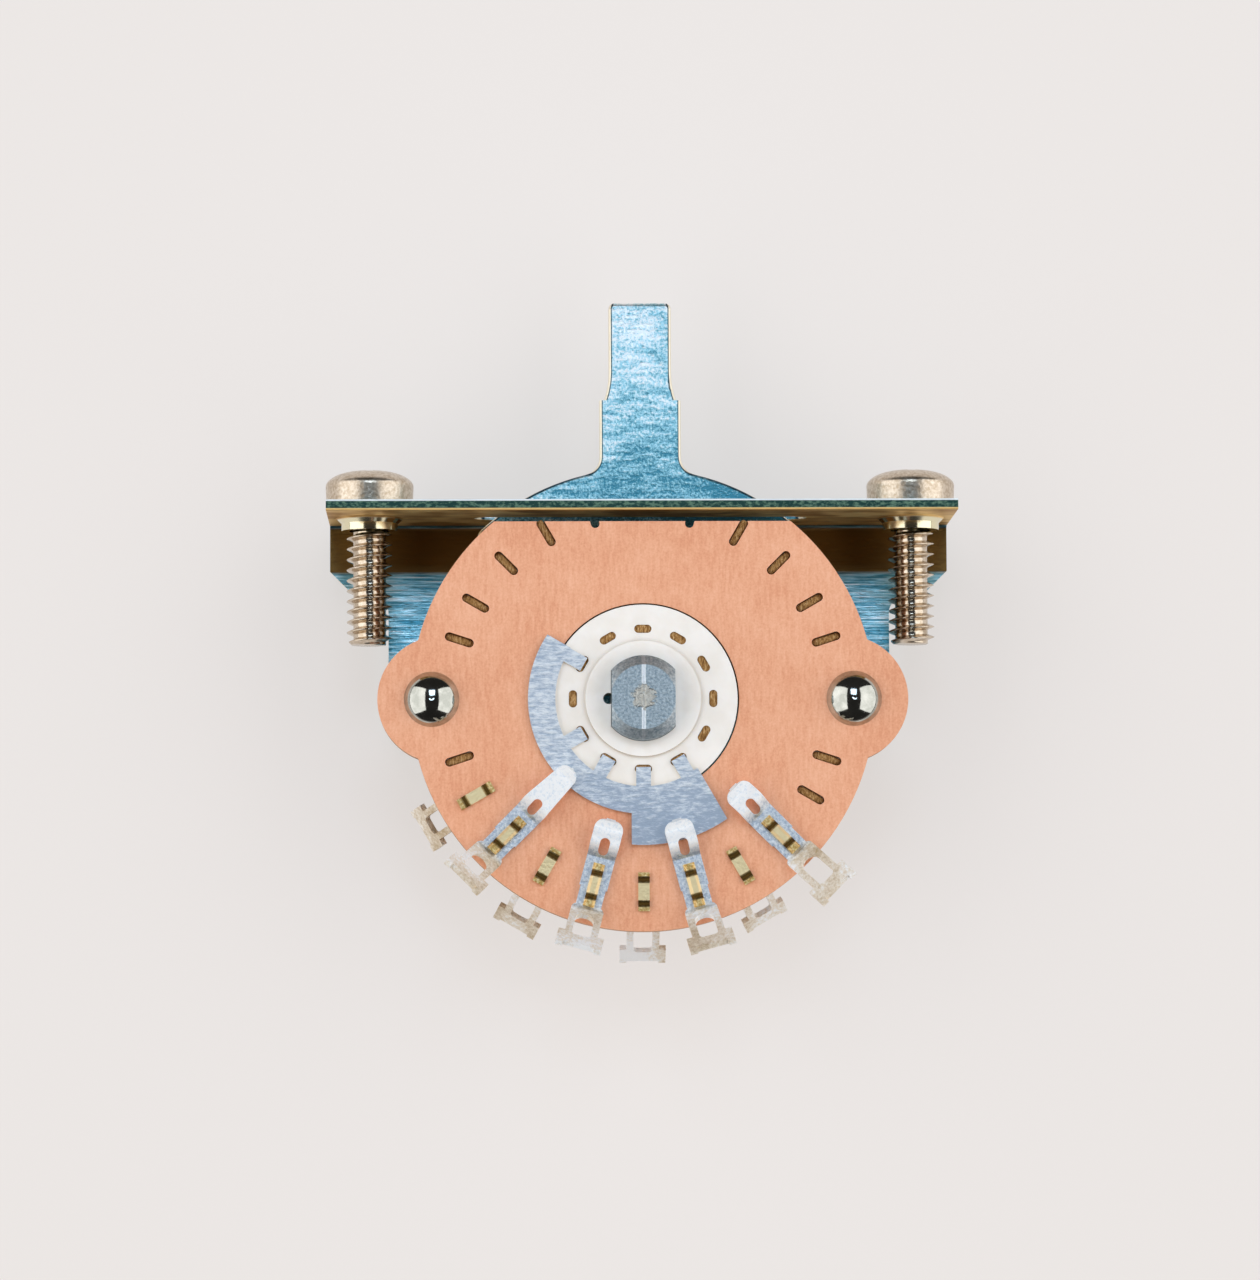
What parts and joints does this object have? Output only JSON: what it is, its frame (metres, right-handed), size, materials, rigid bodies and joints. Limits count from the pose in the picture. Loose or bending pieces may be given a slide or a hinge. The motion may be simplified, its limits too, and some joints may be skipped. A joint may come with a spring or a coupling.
{
  "type": "guitar pickup selector switch",
  "caption": "Lever selector switch on a folded bracket: a blade lever turns a rotor in a phenolic wafer with spring contacts, and a sprung roller holds each position.",
  "frame": {"origin": "middle of the line through the two mounting holes, on the flange's top face, which meets the panel", "axes": "+X along the mounting holes, +Z out of the panel along the lever, wafer and contacts on the -Y side"},
  "size_m": [0.048, 0.0181, 0.0504],
  "materials": {
    "bracket_zinc": "blue zinc plated sheet",
    "lever_zinc": "blue zinc plated sheet",
    "shaft_zinc": "zinc plated bar",
    "washer_zinc": "zinc plated",
    "spacer_zinc": "zinc plated tube",
    "screw_nickel": "nickel plated",
    "rivet_nickel": "bright nickel",
    "phenolic_board": "paper phenolic",
    "white_nylon": "moulded",
    "silvered_clip": "silver plated brass strip",
    "silvered_blade": "silver plated brass sheet",
    "brass": "cut strip",
    "detent_steel": "ground",
    "spring_wire": "spring steel"
  },
  "bodies": {
    "frame": {"contact_front_1": "silvered_clip", "contact_front_2": "silvered_clip", "contact_front_3": "silvered_clip", "contact_front_common": "silvered_clip", "contact_rear_1": "silvered_clip", "contact_rear_2": "silvered_clip", "contact_rear_3": "silvered_clip", "contact_rear_common": "silvered_clip", "detent_spring": "spring_wire", "mounting_bracket": "bracket_zinc", "mounting_screw_left": "screw_nickel", "mounting_screw_right": "screw_nickel", "rivet_left": "rivet_nickel", "rivet_right": "rivet_nickel", "spacer_left": "spacer_zinc", "spacer_right": "spacer_zinc", "staple_front_1": "brass", "staple_front_2": "brass", "staple_front_3": "brass", "staple_front_common": "brass", "staple_rear_1": "brass", "staple_rear_2": "brass", "staple_rear_3": "brass", "staple_rear_common": "brass", "wafer": "phenolic_board"},
    "selector": {"lever": "lever_zinc", "shaft": "shaft_zinc", "rotor": "white_nylon", "rotor_blade_front": "silvered_blade", "rotor_blade_rear": "silvered_blade", "thrust_washer": "washer_zinc"},
    "detent_pin": {"detent_pin": "detent_steel"},
    "detent_roller": {"detent_roller": "detent_steel"}
  },
  "joints": [
    {"name": "lever_swing", "type": "hinge", "parent": "frame", "child": "selector", "pos_m": [0, 0, -0.01505], "axis": [0, 1, 0], "range_deg": [-30, 30]},
    {"name": "detent_slide", "type": "slide", "parent": "frame", "child": "detent_pin", "axis": [0, 0, -1], "range_m": [0, 0.0006], "stiffness_N_per_m": 500, "springref_m": -0.004, "deforming": ["detent_spring"]},
    {"name": "roller_spin", "type": "hinge", "parent": "detent_pin", "child": "detent_roller", "pos_m": [0, 0, -0.02509], "axis": [0, 1, 0], "continuous": true}
  ]
}
